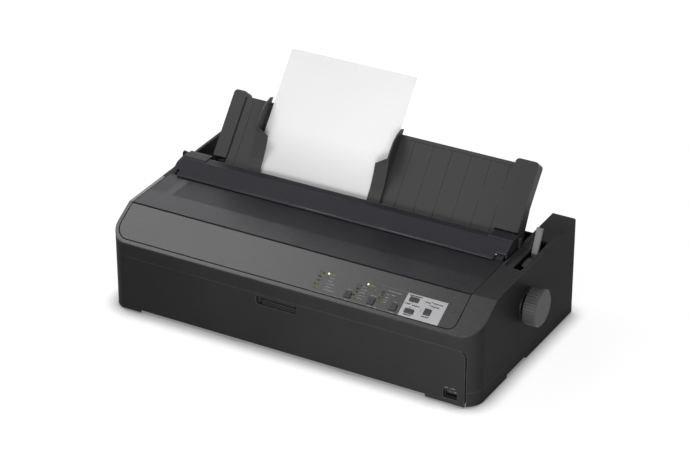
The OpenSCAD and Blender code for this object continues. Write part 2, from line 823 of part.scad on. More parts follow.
knob_w = 19;
knob_ribs = 40;
rib_h = 0.8;
knob_bevel = 1.5;
collar_hole_r = 13;
collar_w = 2.6;

module feed_knob() piece(light_grey) {
    x0 = knob_face_x - knob_w;
    x1 = knob_face_x - knob_bevel;
    r = knob_d / 2 - rib_h;
    difference() {
        union() {
            rod_x(x0, x1, platen_y, platen_z, r);
            translate([x1 - eps, platen_y, platen_z]) rotate([0, 90, 0])
                cylinder(h = knob_bevel + eps, r1 = r, r2 = r - knob_bevel, $fn = fine);
            rod_x(x0 - 3.5, x0 + eps, platen_y, platen_z, collar_hole_r - 1);
            for (i = [0 : knob_ribs - 1])
                translate([0, platen_y, platen_z]) rotate([i * 360 / knob_ribs, 0, 0])
                    block([x0, -0.9, r - 1.7], [x1, 0.9, knob_d / 2]);
        }
        rod_x(x0 - 10, knob_face_x - 12, platen_y, platen_z, shaft_r);
    }
}
module knob_collar() piece(case_black) {
    difference() {
        union() {
            rod_x(half_w - wall, half_w + collar_w, platen_y, platen_z, collar_hole_r - 0.01);
            rod_x(half_w, half_w + collar_w, platen_y, platen_z, knob_d / 2 - 3);
        }
        rod_x(half_w - 10, half_w + 10, platen_y, platen_z, shaft_r + 0.05);
    }
}

// Gear train on the left: motor pinion, idler, platen, and on to the tractors.
platen_teeth = 32;
idler_teeth = 24;
pinion_teeth = 12;
tractor_idler_teeth = 26;
tractor_teeth = 22;
idler_dir = -125;
pinion_dir = -20;
function beside(at, a, d) = [at[0] + d * cos(a), at[1] + d * sin(a)];
function mesh_d(a, b) = pitch_r(a) + pitch_r(b);
idler_at = beside(platen_at, idler_dir, mesh_d(platen_teeth, idler_teeth));
pinion_at = beside(idler_at, pinion_dir, mesh_d(idler_teeth, pinion_teeth));
tractor_idler_at = beside(platen_at, 0, mesh_d(platen_teeth, tractor_idler_teeth));
tractor_at = beside(tractor_idler_at, 0, mesh_d(tractor_idler_teeth, tractor_teeth));
idler_phase = mesh_phase(0, platen_teeth, idler_teeth, idler_dir);
pinion_phase = mesh_phase(idler_phase, idler_teeth, pinion_teeth, pinion_dir);
tractor_idler_phase = mesh_phase(0, platen_teeth, tractor_idler_teeth, 0);
tractor_phase = mesh_phase(tractor_idler_phase, tractor_idler_teeth, tractor_teeth, 0);

module platen_gear() piece(gear_white)
    spur_gear(platen_teeth, gear_x[0], gear_x[1], platen_at, 0, shaft_r);
module idler_gear() piece(gear_white)
    spur_gear(idler_teeth, gear_x[0], gear_x[1], idler_at, idler_phase, 3.05);
module tractor_idler() piece(gear_white)
    spur_gear(tractor_idler_teeth, gear_x[0], gear_x[1], tractor_idler_at, tractor_idler_phase, 3.05);
module feed_pinion() piece("goldenrod") {
    spur_gear(pinion_teeth, gear_x[0], gear_x[1], pinion_at, pinion_phase, 1.5);
    rod_x(gear_x[0], -frame_x + 14, pinion_at[0], pinion_at[1], 1.5);
}
module idler_pin() piece(steel) {
    for (at = [idler_at, tractor_idler_at]) {
        rod_x(gear_x[0] - 2, -frame_x - frame_t, at[0], at[1], 3);
        rod_x(gear_x[1] + 0.3, -frame_x - frame_t, at[0], at[1], 5);
        rod_x(gear_x[0] - 2.6, gear_x[0] - 0.3, at[0], at[1], 4.4);
    }
}

// Stepper motor on its flange plate, with a bore for the pinion's shaft.
motor_w = 30;
motor_r = 17;
motor_flange = 24;
module feed_motor() piece(zinc) {
    difference() {
        union() {
            rod_x(-frame_x, -frame_x + motor_w, pinion_at[0], pinion_at[1], motor_r);
            block([-frame_x, pinion_at[0] - motor_flange, pinion_at[1] - 5],
                  [-frame_x + 1.6, pinion_at[0] + motor_flange, pinion_at[1] + 5]);
        }
        rod_x(-frame_x - 1, -frame_x + 16, pinion_at[0], pinion_at[1], 1.55);
    }
}

// ------------------------------------------------------------------- frame

rail_r = 4;
front_rod_at = [84, 66];
rear_rod_at = [120, 66];
tractor_rail_at = [tractor_at[0] + 26, tractor_at[1]];
lever_at = [190, 100];

module side_plate(x0) {
    difference() {
        along_x(x0, x0 + frame_t)
            polygon([[55, frame_z], [305, frame_z], [305, 60], [288, 112], [215, 112],
                     [200, 128], [130, 128], [110, 100], [70, 92], [55, 60]]);
        rod_x(x0 - 1, x0 + 3, platen_y, platen_z, 7);
        for (at = [front_rod_at, rear_rod_at, tractor_rail_at])
            rod_x(x0 - 1, x0 + 3, at[0], at[1], rail_r);
        rod_x(x0 - 1, x0 + 3, tractor_at[0], tractor_at[1], shaft_r + 0.05);
        if (x0 < 0) rod_x(x0 - 1, x0 + 3, pinion_at[0], pinion_at[1], 3);
        // Lightening holes.
        for (y = [90, 240]) rod_x(x0 - 1, x0 + 3, y, 42, 9);
    }
}
module left_side_frame() piece(zinc) side_plate(-frame_x - frame_t);
module right_side_frame() piece(zinc) side_plate(frame_x);
module front_guide_rod() piece(steel)
    rod_x(-frame_x - frame_t, frame_x + frame_t, front_rod_at[0], front_rod_at[1], rail_r);
module rear_guide_rod() piece(steel)
    rod_x(-frame_x - frame_t, frame_x + frame_t, rear_rod_at[0], rear_rod_at[1], rail_r);
module tractor_rail() piece(steel)
    rod_x(-frame_x - frame_t, frame_x + frame_t, tractor_rail_at[0], tractor_rail_at[1], rail_r);

// Folded sheet that ties the side frames together under the mechanism.
module cross_frame() piece(zinc) {
    difference() {
        union() {
            block([-frame_x, 58, frame_z], [frame_x, 304, frame_z + 1.6]);
            block([-frame_x, 58, frame_z], [frame_x, 59.6, 54]);
            block([-frame_x, 196, frame_z], [frame_x, 197.6, 56]);
        }
        for (x = [-200 : 80 : 200]) block([x, 90, 0], [x + 50, 170, 60]);
        block([-20, 215, 0], [230, 290, 40]);
        block([-245, 215, 0], [-95, 290, 40]);
    }
}

// -------------------------------------------------------------- print head

home_x = -150;
carriage_half = 30;
head_face_y = 142.4;
belt_y = 72;
belt_z = 84;
pulley_r = 8;
pulley_x = 236;
belt_t = 1.2;
belt_w = 6;

module carriage() piece(case_black) {
    difference() {
        union() {
            block([home_x - carriage_half, front_rod_at[0] - 8, 58],
                  [home_x + carriage_half, rear_rod_at[0] + 8, 75]);
            block([home_x - 18, 92, 75 - eps], [home_x + 18, 128, 79]);
            // Clamp that grips the belt's rear strand.
            block([home_x - 10, belt_y + pulley_r - 4, 75 - eps],
                  [home_x + 10, belt_y + pulley_r + 4, belt_z + 6]);
        }
        rod_x(-300, 300, rear_rod_at[0], rear_rod_at[1], rail_r + 0.05);
        block([home_x - 60, front_rod_at[0] - rail_r - 4.5, 50],
              [home_x + 60, front_rod_at[0] + rail_r + 0.3, front_rod_at[1] + rail_r + 0.05]);
        block([home_x - 60, belt_y + pulley_r - 0.9, belt_z - 3.4],
              [home_x + 60, belt_y + pulley_r + 0.9, belt_z + 3.4]);
    }
}

module print_head() piece("dimgray") {
    translate([home_x, 0, 0]) {
        // Nose with the pin guide, behind it the finned coil housing.
        block([-6, 124, platen_z - 12], [6, head_face_y - 2, platen_z + 8]);
        block([-4, 124, platen_z - 6], [4, head_face_y, platen_z + 6]);
        rod_y(92, 100, 0, platen_z + 7, 22);
        rod_y(100 - eps, 124, 0, platen_z + 7, 16);
        for (y = [102 : 4 : 122]) rod_y(y, y + 2, 0, platen_z + 7, 22);
        block([-14, 94, 79], [14, 126, 92]);
    }
}

cart_x = 236;
cart_low = 98;
cart_high = 116;
module ribbon_cartridge() piece(case_black) {
    difference() {
        union() {
            block([-cart_x, 70, cart_low], [cart_x, 88, cart_high]);
            for (s = [-1, 1])
                block([s > 0 ? cart_x - 16 : -cart_x, 88 - eps, cart_low],
                      [s > 0 ? cart_x : -cart_x + 16, 136, cart_high]);
            for (s = [-1, 1])
                block([s > 0 ? cart_x - 6 : -cart_x, 130, platen_z - 8],
                      [s > 0 ? cart_x : -cart_x + 6, 143.2, cart_high]);
        }
        for (s = [-1, 1])
            block([s > 0 ? cart_x - 9 : -cart_x + 3, 90, cart_low + 3],
                  [s > 0 ? cart_x - 3 : -cart_x + 9, 130, cart_high - 2]);
    }
    // Knob that winds the ribbon tight, and lugs that rest on the side frames.
    translate([180, 79, cart_high - eps]) cylinder(h = 5, r = 7);
    for (s = [-1, 1])
        block([s > 0 ? cart_x - eps : -frame_x, 84, cart_low + 2],
              [s > 0 ? frame_x : -cart_x + eps, 92, cart_low + 8]);
}
module ribbon() piece([0.05, 0.05, 0.06]) {
    block([-cart_x + 0.5, 143.2, platen_z - 6.5], [cart_x - 0.5, 143.5, platen_z + 6.5]);
}

module carriage_belt() piece(rubber) {
    difference() {
        belt_loop(pulley_r + belt_t / 2, belt_w);
        belt_loop(pulley_r - belt_t / 2, belt_w + 2);
    }
}
// Space inside the belt's loop, out to radius r.
module belt_loop(r, w) {
    block([-pulley_x, belt_y - r, belt_z - w / 2], [pulley_x, belt_y + r, belt_z + w / 2]);
    for (s = [-1, 1]) translate([s * pulley_x, belt_y, belt_z - w / 2])
        cylinder(h = w, r = r, $fn = fine);
}
module pulley(x, shaft_low) {
    translate([x, belt_y, 0]) {
        translate([0, 0, belt_z - 3.5]) cylinder(h = 7, r = pulley_r - 0.7, $fn = fine);
        for (z = [belt_z - 5, belt_z + 3.3])
            translate([0, 0, z]) cylinder(h = 1.7, r = pulley_r + 1.6, $fn = fine);
        translate([0, 0, shaft_low]) cylinder(h = belt_z - shaft_low, r = 2, $fn = fine);
    }
}
module drive_pulley() piece("goldenrod") pulley(-pulley_x, 60);
module belt_pulley() piece(gear_white) pulley(pulley_x, 62);
module carriage_motor() piece(zinc) {
    difference() {
        union() {
            translate([-pulley_x, belt_y, frame_z + 1.6]) cylinder(h = 34, r = 12, $fn = fine);
            block([-frame_x, belt_y - 10, 72], [-pulley_x + 12, belt_y + 8, 74]);
            block([pulley_x - 8, belt_y - 10, 60], [frame_x, belt_y + 4, 74]);
            translate([-pulley_x, belt_y, 59]) cylinder(h = 14, r = 7.5, $fn = fine);
        }
        for (s = [-1, 1]) translate([s * pulley_x, belt_y, 58]) cylinder(h = 30, r = 2.05, $fn = fine);
    }
}

// ---------------------------------------------------------------- tractors

tractor_x = [-206, 46];
sprocket_r = 13;
sprocket_w = 8;

module tractor_shaft() piece(steel) {
    rod_x(gear_x[0] - 3, frame_x + 6, tractor_at[0], tractor_at[1], shaft_r);
    spur_gear(tractor_teeth, gear_x[0], gear_x[1], tractor_at, tractor_phase, shaft_r - 0.1);
}

// One tractor: two cheeks round the sprocket, a lid and a locking lever.
module tractor_frame(x) {
    difference() {
        union() {
            for (dx = [-8.6, 5])
                along_x(x + dx, x + dx + 3.6) union() {
                    translate(tractor_at) circle(r = 11, $fn = fine);
                    translate(tractor_rail_at) circle(r = 9, $fn = fine);
                    polygon([[tractor_at[0], tractor_at[1] - 9], [tractor_at[0], tractor_at[1] + 11],
                             [tractor_rail_at[0], tractor_rail_at[1] + 9],
                             [tractor_rail_at[0], tractor_rail_at[1] - 9]]);
                }
            block([x - 8.6, tractor_rail_at[0] - 8, tractor_rail_at[1] - 8],
                  [x + 8.6, tractor_rail_at[0] + 8, tractor_rail_at[1] + 8]);
            block([x - 8.6, tractor_rail_at[0] - 8, tractor_rail_at[1]],
                  [x + 8.6, tractor_rail_at[0] - 2, tractor_rail_at[1] + 14]);
        }
        rod_x(x - 20, x + 20, tractor_at[0], tractor_at[1], shaft_r + 0.6);
        rod_x(x - 20, x + 20, tractor_rail_at[0], tractor_rail_at[1], rail_r + 0.05);
    }
}
module sprocket(x) {
    difference() {
        union() {
            rod_x(x - 4, x + 4, tractor_at[0], tractor_at[1], 10.5);
            for (i = [0 : 7]) translate([x, tractor_at[0], tractor_at[1]]) rotate([i * 45, 0, 0])
                translate([0, 0, 8]) cylinder(h = sprocket_r - 8, r = 1.8, $fn = 24);
        }
        rod_x(x - 20, x + 20, tractor_at[0], tractor_at[1], shaft_r + 0.05);
    }
}
module left_tractor() piece(case_black) tractor_frame(tractor_x[0]);
module right_tractor() piece(case_black) tractor_frame(tractor_x[1]);
module left_sprocket() piece(light_grey) sprocket(tractor_x[0]);
module right_sprocket() piece(light_grey) sprocket(tractor_x[1]);

// ---------------------------------------------------- lever, switch, boards

lever_tilt = 23;
lever_x = [289, 298];
lever_len = 92;

module release_lever() piece(light_grey) {
    translate([0, lever_at[0], lever_at[1]]) difference() {
        union() {
            rotate([-lever_tilt, 0, 0]) block([lever_x[0], -2.4, 0], [lever_x[1], 2.4, lever_len - 3]);
            rotate([-lever_tilt, 0, 0]) rod_x(lever_x[0], lever_x[1], 0, lever_len - 3, 3);
            rod_x(lever_x[0] - 1, lever_x[1] + 1, 0, 0, 8);
            // Shield that closes the slot in front of the lever.
            rotate([-lever_tilt, 0, 0]) rotate([0, 90, 0]) translate([0, 0, lever_x[0]])
                rotate([0, 0, 180]) rotate_extrude(angle = 42, $fn = fine)
                    translate([45, 0]) square([3, lever_x[1] - lever_x[0]]);
        }
        rod_x(0, 400, 0, 0, 3.05);
    }
}
module lever_pivot() piece(steel) {
    rod_x(frame_x + frame_t, lever_x[1] + 3, lever_at[0], lever_at[1], 3);
    rod_x(frame_x + frame_t, lever_x[0] - 2, lever_at[0], lever_at[1], 6);
}

rocker_y = 17;
rocker_tilt = 8;
module switch_housing() piece(case_black) {
    difference() {
        block([switch_x0 + 0.4, 4.4, switch_z0 + 0.2], [switch_x1 - 0.4, 33, switch_z1 - 0.4]);
        block([switch_x0 + 2, 3, switch_z0 + 1.3], [switch_x1 - 2, 19, switch_z1 - 1.5]);
    }
}
module power_rocker() piece("black") {
    cz = (switch_z0 + switch_z1) / 2;
    translate([0, rocker_y, cz]) rotate([-rocker_tilt, 0, 0]) intersection() {
        rod_x(switch_x0 + 2.4, switch_x1 - 2.4, 0, 0, 8.6);
        block([switch_x0, -9, -3.9], [switch_x1, -2, 3.9]);
    }
}

board_z = 34;
board_t = 1.6;
board_face = board_z + board_t;
sheet_metal = 1.6;
// Blocks on the main board: left, front, right, rear, height.
board_parts = [
    [20, 225, 60, 255, 4], [90, 230, 130, 262, 3],
    [160, 226, 190, 246, 9], [60, 268, 110, 280, 12]
];
module main_board() piece(board_green) {
    block([-10, 214, board_z], [236, 300, board_face]);
    for (c = board_parts)
        block([c[0], c[1], board_face - eps], [c[2], c[3], board_face + c[4]]);
    for (x = [0, 226], y = [220, 292]) translate([x, y, frame_z + sheet_metal])
        cylinder(h = board_z - frame_z - sheet_metal, r = 2.5, $fn = 24);
}

parallel_x = [150, 210];
usb_x = [100, 114];
inlet_x = [-232, -202];
inlet_z = [36, 60];
module socket_wells() {
    block([parallel_x[0] - 0.6, body_d - 8, 38], [parallel_x[1] + 0.6, body_d + 1, 54]);
    block([usb_x[0] - 0.6, body_d - 8, 38], [usb_x[1] + 0.6, body_d + 1, 52]);
    block([inlet_x[0], body_d - 8, inlet_z[0]], [inlet_x[1], body_d + 1, inlet_z[1]]);
}
module rear_connectors() piece(zinc) {
    difference() {
        union() {
            block([parallel_x[0], 296, 38.6], [parallel_x[1], body_d - 1, 53.4]);
            block([usb_x[0], 296, 38.6], [usb_x[1], body_d - 1, 51.4]);
        }
        block([parallel_x[0] + 6, 314, 41.6], [parallel_x[1] - 6, body_d + 1, 50.4]);
        block([usb_x[0] + 2, 314, 40.6], [usb_x[1] - 2, body_d + 1, 49.4]);
    }
    for (x = [parallel_x, usb_x])
        block([x[0], 296, board_face], [x[1], 306, 38.6 + eps]);
}

module power_supply() piece(zinc) {
    block([-240, 214, frame_z + 1.6], [-100, 300, frame_z + 4]);
    block([-230, 222, frame_z + 4 - eps], [-190, 280, 58]);
    for (x = [-180, -150, -125]) translate([x, 240, frame_z + 4 - eps]) cylinder(h = 26, r = 10);
    block([-178, 262, frame_z + 4 - eps], [-110, 264, 56]);
}
module ac_inlet() piece("black") {
    difference() {
        block([inlet_x[0] + 0.4, 304, inlet_z[0] + 0.4],
              [inlet_x[1] - 0.4, body_d - 0.4, inlet_z[1] - 0.4]);
        block([inlet_x[0] + 3, 308, inlet_z[0] + 3.4],
              [inlet_x[1] - 3, body_d + 1, inlet_z[1] - 3.4]);
    }
    // Its three blades.
    middle = (inlet_x[0] + inlet_x[1]) / 2;
    for (x = [-7, 0, 7])
        block([middle + x - 1, 308 - eps, 46], [middle + x + 1, 322, 50]);
}

lower_case();
rubber_feet();
upper_case();
front_cover();
sloped_panel();
control_plate();
status_lights();
panel_board();
pitch_button();
font_button();
tear_off_button();
load_button();
line_feed_button();
pause_button();
top_cover();
eject_ridge();
cover_pins();
paper_guide();
guide_pins();
left_edge_guide();
right_edge_guide();
paper_sheet();
platen_roller();
platen_shaft();
feed_knob();
knob_collar();
platen_bushes();
platen_gear();
idler_gear();
idler_pin();
feed_motor();
feed_pinion();
left_side_frame();
right_side_frame();
front_guide_rod();
rear_guide_rod();
cross_frame();
carriage();
print_head();
ribbon_cartridge();
ribbon();
carriage_belt();
carriage_motor();
drive_pulley();
belt_pulley();
tractor_shaft();
tractor_rail();
tractor_idler();
left_tractor();
right_tractor();
left_sprocket();
right_sprocket();
release_lever();
lever_pivot();
power_rocker();
switch_housing();
main_board();
rear_connectors();
power_supply();
ac_inlet();
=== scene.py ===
"""Looks of a wide-carriage dot matrix printer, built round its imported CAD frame."""
import json
import math
import random
import bpy
import bmesh
from mathutils import Matrix, Vector


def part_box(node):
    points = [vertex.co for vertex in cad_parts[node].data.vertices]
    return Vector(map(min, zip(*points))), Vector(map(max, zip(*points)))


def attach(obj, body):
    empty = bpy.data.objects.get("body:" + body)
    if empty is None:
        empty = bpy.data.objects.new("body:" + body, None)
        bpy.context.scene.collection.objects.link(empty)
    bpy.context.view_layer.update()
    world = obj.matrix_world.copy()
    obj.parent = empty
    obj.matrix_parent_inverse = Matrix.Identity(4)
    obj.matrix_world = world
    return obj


MM = 0.001
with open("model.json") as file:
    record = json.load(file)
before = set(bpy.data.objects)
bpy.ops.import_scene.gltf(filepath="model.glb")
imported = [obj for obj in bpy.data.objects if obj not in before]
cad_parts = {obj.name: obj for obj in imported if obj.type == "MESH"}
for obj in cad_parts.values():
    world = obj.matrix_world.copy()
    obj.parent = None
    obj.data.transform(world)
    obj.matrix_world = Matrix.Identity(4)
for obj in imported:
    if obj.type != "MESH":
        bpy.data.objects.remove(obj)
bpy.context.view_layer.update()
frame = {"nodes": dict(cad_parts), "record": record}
nodes = frame["nodes"]
scene = bpy.context.scene
random.seed(7)

# ------------------------------------------------------------------ places
# The case's own frame: x from its middle plane, y back from its front face.
CASE_LOW, CASE_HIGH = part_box("upper_case")
CASE_X = (CASE_LOW.x + CASE_HIGH.x) / 2
CASE_Y = CASE_LOW.y
CASE_REAR = 326
SLOPE = math.radians(29.8)
RIM_Z = 114.5
FOLD = 61
FOLD_Z = 149.5
DECK_RISE = 6.5 / 265
DECK_END = 150
HALF_WIDTH = 306.5
RIM_CORNER = 30
# The tinted cover's sides, and the sloped panel's front edge and corners.
COVER_X = (-300.5, 268)
PANEL_FRONT = 6.5
PANEL_LEFT_CORNER = 24
PANEL_RIGHT_CORNER = 12.6


def place(x, y, z):
    """A point given in millimetres in the case's own frame."""
    return Vector((CASE_X + x * MM, CASE_Y + y * MM, z * MM))


def shift(x, y, z):
    """A move given in millimetres."""
    return Matrix.Translation(Vector((x, y, z)) * MM)


def top_z(y):
    """Height of the case's top over a place y behind its front."""
    if y < FOLD:
        return RIM_Z + y * (FOLD_Z - RIM_Z) / FOLD
    return FOLD_Z + (y - FOLD) * DECK_RISE


# Across, up the slope and out of it.
slope_matrix = Matrix.Translation(place(0, 0, RIM_Z)) @ Matrix.Rotation(SLOPE, 4, "X")


# --------------------------------------------------------------- materials
def new_material(name):
    """A material with its tree and its shader."""
    mat = bpy.data.materials.new(name)
    mat.use_nodes = True
    tree = mat.node_tree
    return mat, tree, tree.nodes["Principled BSDF"]


def add(tree, kind, **values):
    """A node with its attributes and socket values set."""
    node = tree.nodes.new(kind)
    for key, value in values.items():
        if hasattr(node, key):
            setattr(node, key, value)
        else:
            node.inputs[key.replace("_", " ")].default_value = value
    return node


def coordinates(tree):
    """The object's own coordinates, which are the row's frame."""
    node = tree.nodes.get("coords") or add(tree, "ShaderNodeTexCoord", name="coords")
    return node.outputs["Object"]


def noise(tree, size_mm, detail=2.0, stretch=None):
    """Noise whose lumps are about size_mm across."""
    vector = coordinates(tree)
    if stretch:
        scale = add(tree, "ShaderNodeMapping", Scale=stretch)
        tree.links.new(vector, scale.inputs["Vector"])
        vector = scale.outputs["Vector"]
    texture = add(tree, "ShaderNodeTexNoise", Scale=1 / (size_mm * MM), Detail=detail)
    tree.links.new(vector, texture.inputs["Vector"])
    return texture.outputs["Fac"]


def spread(tree, value, low, high, from_low=0.3, from_high=0.7):
    """Maps a value from one range to the range low..high."""
    node = add(tree, "ShaderNodeMapRange")
    node.inputs["From Min"].default_value = from_low
    node.inputs["From Max"].default_value = from_high
    node.inputs["To Min"].default_value = low
    node.inputs["To Max"].default_value = high
    tree.links.new(value, node.inputs["Value"])
    return node.outputs["Result"]


def times(tree, a, b):
    """The product of two values."""
    node = add(tree, "ShaderNodeMath", operation="MULTIPLY")
    tree.links.new(a, node.inputs[0])
    tree.links.new(b, node.inputs[1])
    return node.outputs["Value"]


def along(tree, axis, at_mm, soft_mm, before=0.0, after=1.0):
    """A step along one of the case's axes, soft_mm wide."""
    split = tree.nodes.get("split")
    if not split:
        split = add(tree, "ShaderNodeSeparateXYZ", name="split")
        tree.links.new(coordinates(tree), split.inputs["Vector"])
    origin = {"X": CASE_X, "Y": CASE_Y, "Z": 0}[axis]
    low = origin + (at_mm - soft_mm / 2) * MM
    return spread(tree, split.outputs[axis], before, after, low, low + soft_mm * MM)


def tint(tree, colour, brightness):
    """The colour times a varying brightness."""
    node = add(tree, "ShaderNodeHueSaturation")
    node.inputs["Color"].default_value = (*colour, 1)
    tree.links.new(brightness, node.inputs["Value"])
    return node.outputs["Color"]


BEVEL_SAMPLES = 4
# Width of the painted edge highlight.
EDGE_HIGHLIGHT_MM = 1.2


def edge_mask(tree, radius_mm):
    """1 on edges and 0 on flats, from how far a rounded normal turns."""
    bevel = add(tree, "ShaderNodeBevel", samples=BEVEL_SAMPLES, Radius=radius_mm * MM)
    flat = add(tree, "ShaderNodeNewGeometry")
    dot = add(tree, "ShaderNodeVectorMath", operation="DOT_PRODUCT")
    tree.links.new(bevel.outputs["Normal"], dot.inputs[0])
    tree.links.new(flat.outputs["Normal"], dot.inputs[1])
    return spread(tree, dot.outputs["Value"], 1.0, 0.0, 0.93, 0.998)


def plastic(name, colour, rough, grain_mm=0.8, depth_mm=0.02, drift=0.06, edge_highlight=1.3,
            specular=0.3, speckle=0.0, round_mm=0.7, zones=None, rougher=None):
    """Moulded plastic: spark-eroded grain, slow drift, rounded edges with a painted highlight that
    makes them paler.
    """
    mat, tree, shader = new_material(name)
    fine = noise(tree, grain_mm, 3.0)
    bright = spread(tree, noise(tree, 90, 3.0), 1 - drift, 1 + drift)
    if speckle:
        bright = times(tree, bright, spread(tree, fine, 1 - speckle, 1 + speckle))
    # Painted highlight: edges are made paler by this factor.
    if edge_highlight != 1:
        edges = edge_mask(tree, EDGE_HIGHLIGHT_MM)
        bright = times(tree, bright, spread(tree, edges, 1.0, edge_highlight, 0.0, 1.0))
    for zone in zones or []:
        bright = times(tree, bright, zone(tree))
    tree.links.new(tint(tree, colour, bright), shader.inputs["Base Color"])
    rough_value = spread(tree, fine, rough - 0.05, rough + 0.05)
    if rougher:
        rough_value = times(tree, rough_value, spread(tree, rougher(tree), 1.0, 1.5, 0.0, 1.0))
    tree.links.new(rough_value, shader.inputs["Roughness"])
    bump = add(tree, "ShaderNodeBump", Strength=0.6, Distance=depth_mm * MM)
    tree.links.new(fine, bump.inputs["Height"])
    if round_mm:
        rounded = add(tree, "ShaderNodeBevel", samples=BEVEL_SAMPLES, Radius=round_mm * MM)
        tree.links.new(rounded.outputs["Normal"], bump.inputs["Normal"])
    tree.links.new(bump.outputs["Normal"], shader.inputs["Normal"])
    shader.inputs["Specular IOR Level"].default_value = specular
    return mat


def metal(name, colour, rough, stretch=(1, 1, 1), grain_mm=0.6, depth_mm=0.01, metallic=1.0):
    """Metal with a drawn or plated surface; stretch draws out its grain."""
    mat, tree, shader = new_material(name)
    value = noise(tree, grain_mm, 4.0, stretch)
    tree.links.new(tint(tree, colour, spread(tree, value, 0.9, 1.08)), shader.inputs["Base Color"])
    tree.links.new(spread(tree, value, rough - 0.06, rough + 0.08), shader.inputs["Roughness"])
    bump = add(tree, "ShaderNodeBump", Strength=0.5, Distance=depth_mm * MM)
    tree.links.new(value, bump.inputs["Height"])
    tree.links.new(bump.outputs["Normal"], shader.inputs["Normal"])
    shader.inputs["Metallic"].default_value = metallic
    return mat


def cover_window(tree):
    """1 where the smoky cover is clear, behind its front strip and beside its bar."""
    window = along(tree, "X", -260.7, 1.5)
    margin = along(tree, "X", -273.5, 1.5, 0.6, 0.0)
    either = add(tree, "ShaderNodeMath", operation="ADD")
    tree.links.new(window, either.inputs[0])
    tree.links.new(margin, either.inputs[1])
    return times(tree, either.outputs["Value"], along(tree, "Y", 106, 1))


def cover_painted_shade(tree):
    """Painted shade: the clear part of the cover is made darker, for the dark bay below it."""
    return spread(tree, cover_window(tree), 1.0, 0.85, 0.0, 1.0)


def painted_top_light(tree):
    """Painted light: faces that lie up are made paler."""
    split = add(tree, "ShaderNodeSeparateXYZ")
    tree.links.new(coordinates(tree).node.outputs["Normal"], split.inputs["Vector"])
    return spread(tree, split.outputs["Z"], 1.0, 1.7, 0.3, 0.9)


def sheet_painted_shade(tree):
    """Painted shade: the sheet greys towards the feed slot."""
    return along(tree, "Z", 190, 70, 0.66, 1.0)


def guide_painted_shade(tree):
    """Painted shade: the guide darkens towards its right end."""
    return along(tree, "X", 205, 130, 1.1, 0.72)


def shield_painted_shade(tree):
    """Painted shade: the lever's shield, inside the case, is darker than its stick."""
    return along(tree, "Z", 150, 2, 0.12, 1.0)


# Painted light and shade: the zones of the case, guide, lever, cover and sheet; every plastic whose
# edge factor is over 1 gets a painted edge highlight.
CASE = plastic("case_plastic", (0.020, 0.020, 0.0205), 0.45, 0.9, 0.03, specular=0.02,
               edge_highlight=3.0, round_mm=1.2, zones=[painted_top_light])
PANEL = plastic("panel_plastic", (0.019, 0.019, 0.0195), 0.27, 0.9, 0.03, specular=0.22,
                speckle=0.16, round_mm=1.0)
KEY = plastic("key_plastic", (0.030, 0.030, 0.031), 0.45, 0.6, 0.01, edge_highlight=1.8, specular=0.12)
GUIDE = plastic("guide_plastic", (0.026, 0.026, 0.0265), 0.48, 1.2, 0.02, speckle=0.06, edge_highlight=1.8,
                zones=[guide_painted_shade])
KNOB = plastic("knob_plastic", (0.044, 0.044, 0.045), 0.5, 0.7, 0.02)
LEVER = plastic("lever_plastic", (0.13, 0.13, 0.135), 0.42, 0.7, 0.015, zones=[shield_painted_shade])
SPROCKET = plastic("sprocket_plastic", (0.16, 0.16, 0.165), 0.42, 0.7, 0.015)
SOCKET = plastic("socket_black", (0.010, 0.010, 0.010), 0.4, 0.6, 0.015)
SEAM = plastic("seam_black", (0.004, 0.004, 0.004), 0.6, 0.6, 0.005, specular=0.05, edge_highlight=1,
               round_mm=0)
GEAR = plastic("gear_plastic", (0.72, 0.70, 0.62), 0.38, 1.2, 0.01, edge_highlight=1.05)
RUBBER = plastic("rubber", (0.015, 0.015, 0.015), 0.75, 0.5, 0.04)
BOARD = plastic("board", (0.015, 0.10, 0.04), 0.35, 3.0, 0.01, edge_highlight=1)
SILVER = metal("plate_silver", (0.25, 0.25, 0.26), 0.5, grain_mm=0.4, depth_mm=0.004, metallic=0.2)
STEEL = metal("steel", (0.6, 0.61, 0.62), 0.25, (0.1, 1, 1))
ZINC = metal("zinc_sheet", (0.52, 0.53, 0.54), 0.4, grain_mm=6)
BRASS = metal("brass", (0.70, 0.50, 0.22), 0.3)
COVER = plastic("tinted_cover", (0.022, 0.0215, 0.026), 0.28, 1.1, 0.02, specular=0.05,
                speckle=0.25, edge_highlight=2.5, zones=[cover_painted_shade], rougher=cover_window)
RIDGE = plastic("tinted_ridge", (0.027, 0.026, 0.031), 0.38, 1.1, 0.03, specular=0.03,
                speckle=0.25, edge_highlight=3.0, round_mm=1.2)
RIDGE_EDGE = plastic("ridge_edge", (0.035, 0.034, 0.039), 0.25, 1.1, 0.01, specular=0.5,
                     edge_highlight=1, round_mm=0)
PAPER = plastic("paper", (0.82, 0.82, 0.82), 0.7, 0.5, 0.01, drift=0.01, edge_highlight=1, round_mm=0,
                zones=[sheet_painted_shade])
LIGHT = plastic("light_pipe", (0.035, 0.038, 0.030), 0.3, 0.8, 0.005, edge_highlight=1, round_mm=0)


def ink(name, colour, specular=0.1):
    """A printed mark."""
    return plastic(name, colour, 0.6, 0.4, 0.002, specular=specular, edge_highlight=1, round_mm=0)


INK_PALE = ink("ink_pale", (0.17, 0.17, 0.17))
INK_LINE = ink("ink_line", (0.085, 0.085, 0.086))
INK_DARK = ink("ink_dark", (0.012, 0.012, 0.012), specular=0.02)
INK_GREEN = ink("ink_green", (0.20, 0.26, 0.05))

